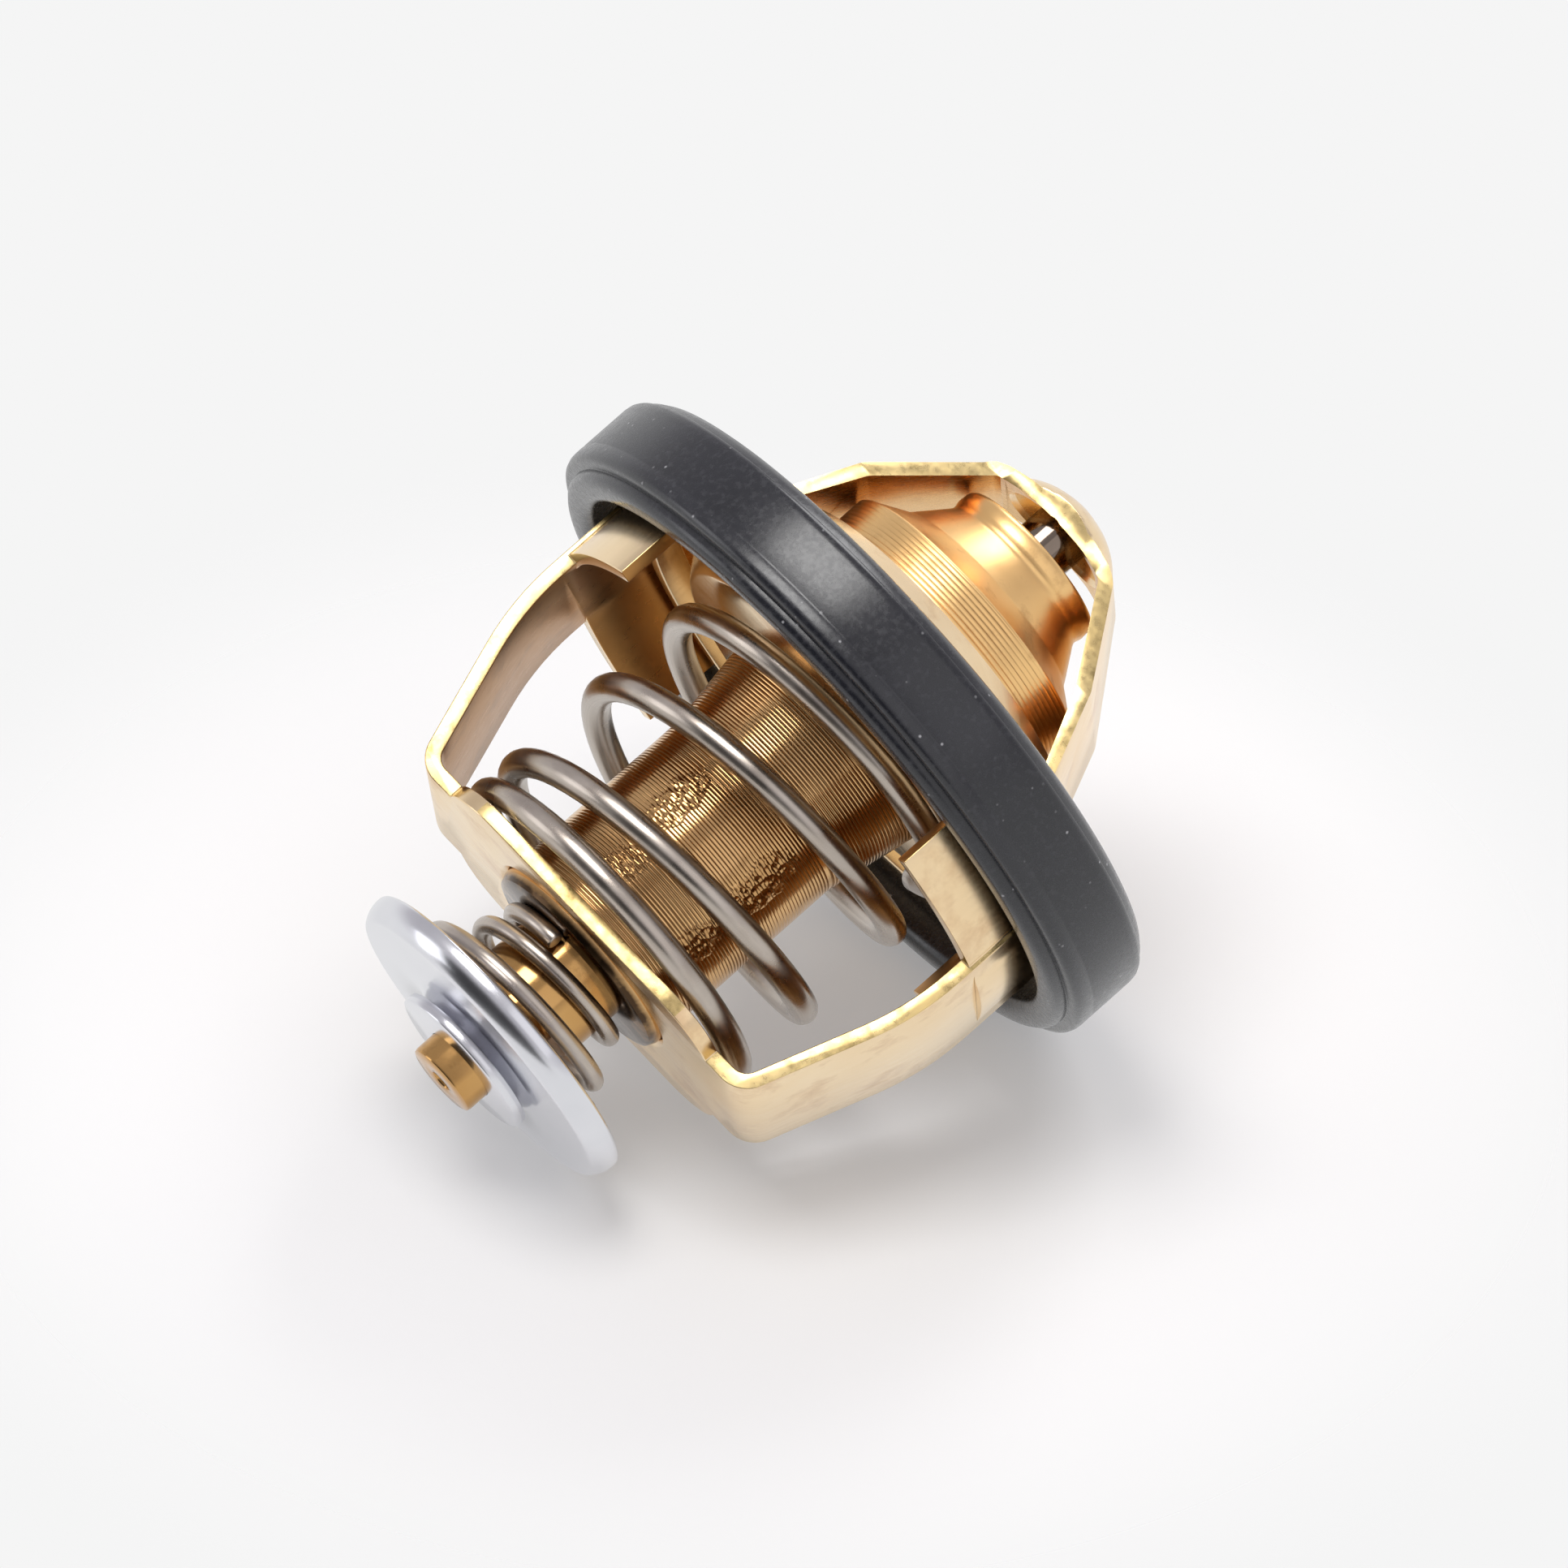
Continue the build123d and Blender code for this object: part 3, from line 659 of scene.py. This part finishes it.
bypassCoil = {"low": 8.2, "high": 5.5, "bottom": -33.5, "top": -26.6, "wire": 1.4, "turns": 2.7,
              "start": 11.5, "restLow": 0.12, "restHigh": 0.12}
coneSpring = coilPiece("coneSpring", bypassCoil)
setMaterial(coneSpring, wireSteel)
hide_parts("bypass_spring")
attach(coneSpring, "element")
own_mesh(coneSpring)
print("springs wound")

# nodes that stay as they are
setMaterial(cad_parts["piston"], rodSteel)
setMaterial(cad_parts["rubber_boot"], rubber)
setMaterial(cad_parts["wax_charge"], wax)

# camera at the photograph's angle: a long lens, the axis leaning to the upper right
cameraSpec = {"azimuth": 15.0, "elevation": -10.3, "roll": 48.56, "lens": 400.0, "sensor": 36.0,
              "pxPerMm": 17.402, "origin": (1049.0, 885.7), "frame": 1932.0}
az, el, roll = (math.radians(cameraSpec[k]) for k in ("azimuth", "elevation", "roll"))
back = Vector((math.sin(az) * math.cos(el), -math.cos(az) * math.cos(el), math.sin(el)))
flat = Vector((math.cos(az), math.sin(az), 0))
rise = back.cross(flat)
viewRight = math.cos(roll) * flat + math.sin(roll) * rise
viewUp = -math.sin(roll) * flat + math.cos(roll) * rise
centre = cameraSpec["frame"] / 2
offset = [(p - centre) / cameraSpec["pxPerMm"] * mm for p in cameraSpec["origin"]]
target = -offset[0] * viewRight + offset[1] * viewUp
distance = cameraSpec["lens"] / cameraSpec["sensor"] * cameraSpec["frame"] / cameraSpec["pxPerMm"] * mm
camData = bpy.data.cameras.new("photoCamera")
camData.lens = cameraSpec["lens"]
camData.sensor_width = cameraSpec["sensor"]
camera = bpy.data.objects.new("photoCamera", camData)
bpy.context.collection.objects.link(camera)
eye = target + back * distance
camera.matrix_world = Matrix((
    (viewRight.x, viewUp.x, back.x, eye.x),
    (viewRight.y, viewUp.y, back.y, eye.y),
    (viewRight.z, viewUp.z, back.z, eye.z),
    (0, 0, 0, 1)))
bpy.context.scene.camera = camera

# floor: touches the rubber ring and the bypass disc, seen near the part only, bright in the metal's shine
floorSpec = {"azimuth": 66.0, "ring": (27.0, -2.3), "disc": (12.5, -34.8), "size": 3000.0, "gap": 0.04,
             "paper": "#f4f3f3", "glow": "#f5f5f5", "glowPower": 0.97, "fadeStart": 38.0, "fadeEnd": 72.0,
             "mirrorStart": 6.0, "mirrorEnd": 20.0, "mirrorShare": (0.45, 0.97), "lift": 0.3}
floorTurn = math.radians(floorSpec["azimuth"])
down = Vector((math.cos(floorTurn), math.sin(floorTurn), 0))
ringSpot = down * floorSpec["ring"][0] * mm + Vector((0, 0, floorSpec["ring"][1] * mm))
discSpot = down * floorSpec["disc"][0] * mm + Vector((0, 0, floorSpec["disc"][1] * mm))
floorCentre = (ringSpot + discSpot) / 2
along = (ringSpot - discSpot).normalized()
across = Vector((0, 0, 1)).cross(down).normalized()
upright = along.cross(across).normalized()
if upright.dot(down) > 0:
    upright = -upright
deselectAll()
bpy.ops.mesh.primitive_plane_add(size=floorSpec["size"] * mm)
floor = bpy.context.object
floor.name = "floor"
spin = upright.to_track_quat("Z", "Y").to_matrix().to_4x4()
floor.data.transform(Matrix.Translation(floorCentre - upright * floorSpec["gap"] * mm) @ spin)


# white paper: a diffuse sheet that fades into the background and can't be seen from below; in the metal's
# reflections it glows, a painted reflection that is weaker near the part's axis where its shadow lies
def paperFloor(spec):
    mat, tree = newMaterial("white_paper_floor")
    spot = addNode(tree, "ShaderNodeTexCoord")
    shifted = addNode(tree, "ShaderNodeVectorMath", {"operation": "SUBTRACT", 1: tuple(floorCentre)},
                      {0: (spot, "Object")})
    far = addNode(tree, "ShaderNodeVectorMath", {"operation": "LENGTH"}, {0: (shifted, "Vector")})
    fade = addNode(tree, "ShaderNodeMapRange",
                   {"interpolation_type": "SMOOTHSTEP", "From Min": spec["fadeStart"] * mm,
                    "From Max": spec["fadeEnd"] * mm},
                   {"Value": (far, "Value")})
    under = addNode(tree, "ShaderNodeNewGeometry")
    path = addNode(tree, "ShaderNodeLightPath")
    seen = addNode(tree, "ShaderNodeMath", {"operation": "MULTIPLY"},
                   {0: (fade, "Result"), 1: (path, "Is Camera Ray")})
    gone = addNode(tree, "ShaderNodeMath", {"operation": "MAXIMUM"},
                   {0: (seen, "Value"), 1: (under, "Backfacing")})
    paper = addNode(tree, "ShaderNodeBsdfDiffuse", {"Color": hexColour(spec["paper"])})
    clear = addNode(tree, "ShaderNodeBsdfTransparent")
    bright = addNode(tree, "ShaderNodeEmission",
                     {"Color": hexColour(spec["glow"]), "Strength": spec["glowPower"]})
    side = addNode(tree, "ShaderNodeVectorMath", {"operation": "DOT_PRODUCT", 1: tuple(across)},
                   {0: (shifted, "Vector")})
    away = addNode(tree, "ShaderNodeMath", {"operation": "ABSOLUTE"}, {0: (side, "Value")})
    openSide = addNode(tree, "ShaderNodeMapRange",
                       {"interpolation_type": "SMOOTHSTEP", "From Min": spec["mirrorStart"] * mm,
                        "From Max": spec["mirrorEnd"] * mm, "To Min": spec["mirrorShare"][0],
                        "To Max": spec["mirrorShare"][1]},
                       {"Value": (away, "Value")})
    mirrored = addNode(tree, "ShaderNodeMath", {"operation": "MULTIPLY"},
                       {0: (openSide, "Result"), 1: (path, "Is Glossy Ray")})
    share = addNode(tree, "ShaderNodeMath", {"operation": "MULTIPLY_ADD", 1: spec["lift"]},
                    {0: (path, "Is Camera Ray"), 2: (mirrored, "Value")})
    shiny = addNode(tree, "ShaderNodeMixShader", None,
                    {0: (share, "Value"), 1: (paper, "BSDF"), 2: (bright, "Emission")})
    mix = addNode(tree, "ShaderNodeMixShader", None,
                  {0: (gone, "Value"), 1: (shiny, "Shader"), 2: (clear, "BSDF")})
    addNode(tree, "ShaderNodeOutputMaterial", None, {"Surface": (mix, "Shader")})
    return mat


setMaterial(floor, paperFloor(floorSpec))

# studio light: a soft box above, one behind, a dim card in front and a small one to the side
# places in m, along the picture's right, its up and towards the camera
lampSpec = {
    "topBox": {"place": (-0.10, 0.34, 0.35), "size": 0.25, "power": 1.34, "tint": "#fffefc"},
    "backBox": {"place": (0.17, 0.42, -0.03), "size": 0.2, "power": 0.62, "tint": "#ffffff"},
    "frontCard": {"place": (0.22, 0.03, 0.45), "size": 0.36, "power": 0.17, "tint": "#ffffff"},
    "leftBox": {"place": (-0.42, 0.14, 0.10), "size": 0.2, "power": 0.2, "tint": "#fbfcff"},
}
for name, spec in lampSpec.items():
    lampData = bpy.data.lights.new(name, "AREA")
    lampData.size = spec["size"]
    lampData.energy = spec["power"]
    lampData.color = hexColour(spec["tint"])[:3]
    lamp = bpy.data.objects.new(name, lampData)
    bpy.context.collection.objects.link(lamp)
    x, y, z = spec["place"]
    place = target + viewRight * x + viewUp * y + back * z
    lamp.location = place
    lamp.rotation_euler = (place - target).to_track_quat("Z", "Y").to_euler()

# world: the pale background for the camera, a dimmer room with a dark gap in front for everything else
worldSpec = {"seen": "#f5f5f5", "room": "#f7f4fa", "levelRange": (-0.05, 0.5), "low": 0.74, "high": 0.56,
             "endRange": (0.22, 0.45), "frontRange": (0.1, 0.4), "gapDepth": 0.92, "sweepRange": (0.32, 0.02)}
world = bpy.data.worlds.new("studio")
bpy.context.scene.world = world
world.use_nodes = True
tree = world.node_tree
tree.nodes.clear()
way = addNode(tree, "ShaderNodeTexCoord")
height = addNode(tree, "ShaderNodeVectorMath", {"operation": "DOT_PRODUCT", 1: tuple(upright)},
                 {0: (way, "Generated")})
level = addNode(tree, "ShaderNodeMapRange",
                {"From Min": worldSpec["levelRange"][0], "From Max": worldSpec["levelRange"][1],
                 "To Min": worldSpec["low"], "To Max": worldSpec["high"]},
                {"Value": (height, "Value")})
ends = addNode(tree, "ShaderNodeVectorMath", {"operation": "DOT_PRODUCT", 1: (0, 0, -1)},
               {0: (way, "Generated")})
front = addNode(tree, "ShaderNodeVectorMath", {"operation": "DOT_PRODUCT", 1: tuple(back)},
                {0: (way, "Generated")})
endwise = addNode(tree, "ShaderNodeMapRange",
                  {"interpolation_type": "SMOOTHSTEP", "From Min": worldSpec["endRange"][0],
                   "From Max": worldSpec["endRange"][1]},
                  {"Value": (ends, "Value")})
frontal = addNode(tree, "ShaderNodeMapRange",
                  {"interpolation_type": "SMOOTHSTEP", "From Min": worldSpec["frontRange"][0],
                   "From Max": worldSpec["frontRange"][1], "To Max": worldSpec["gapDepth"]},
                  {"Value": (front, "Value")})
dark = addNode(tree, "ShaderNodeMath", {"operation": "MULTIPLY"},
               {0: (endwise, "Result"), 1: (frontal, "Result")})
gap = addNode(tree, "ShaderNodeMath", {"operation": "SUBTRACT", 0: 1.0}, {1: (dark, "Value")})
lit = addNode(tree, "ShaderNodeMath", {"operation": "MULTIPLY"}, {0: (level, "Result"), 1: (gap, "Value")})
room = addNode(tree, "ShaderNodeBackground", {"Color": hexColour(worldSpec["room"])},
               {"Strength": (lit, "Value")})
pale = addNode(tree, "ShaderNodeBackground", {"Color": hexColour(worldSpec["seen"])})
path = addNode(tree, "ShaderNodeLightPath")
sweep = addNode(tree, "ShaderNodeMapRange",
                {"From Min": worldSpec["sweepRange"][0], "From Max": worldSpec["sweepRange"][1]},
                {"Value": (height, "Value")})
clearWay = addNode(tree, "ShaderNodeMath", {"operation": "MULTIPLY"},
                   {0: (sweep, "Result"), 1: (gap, "Value")})
shiny = addNode(tree, "ShaderNodeMath", {"operation": "MULTIPLY"},
                {0: (path, "Is Glossy Ray"), 1: (clearWay, "Value")})
direct = addNode(tree, "ShaderNodeMath", {"operation": "MAXIMUM"},
                 {0: (path, "Is Camera Ray"), 1: (path, "Is Transmission Ray")})
seen = addNode(tree, "ShaderNodeMath", {"operation": "MAXIMUM"},
               {0: (direct, "Value"), 1: (shiny, "Value")})
both = addNode(tree, "ShaderNodeMixShader", None,
               {0: (seen, "Value"), 1: (room, "Background"), 2: (pale, "Background")})
addNode(tree, "ShaderNodeOutputWorld", None, {"Surface": (both, "Shader")})
bpy.context.scene.view_settings.view_transform = "Standard"
print("camera, floor and light set")
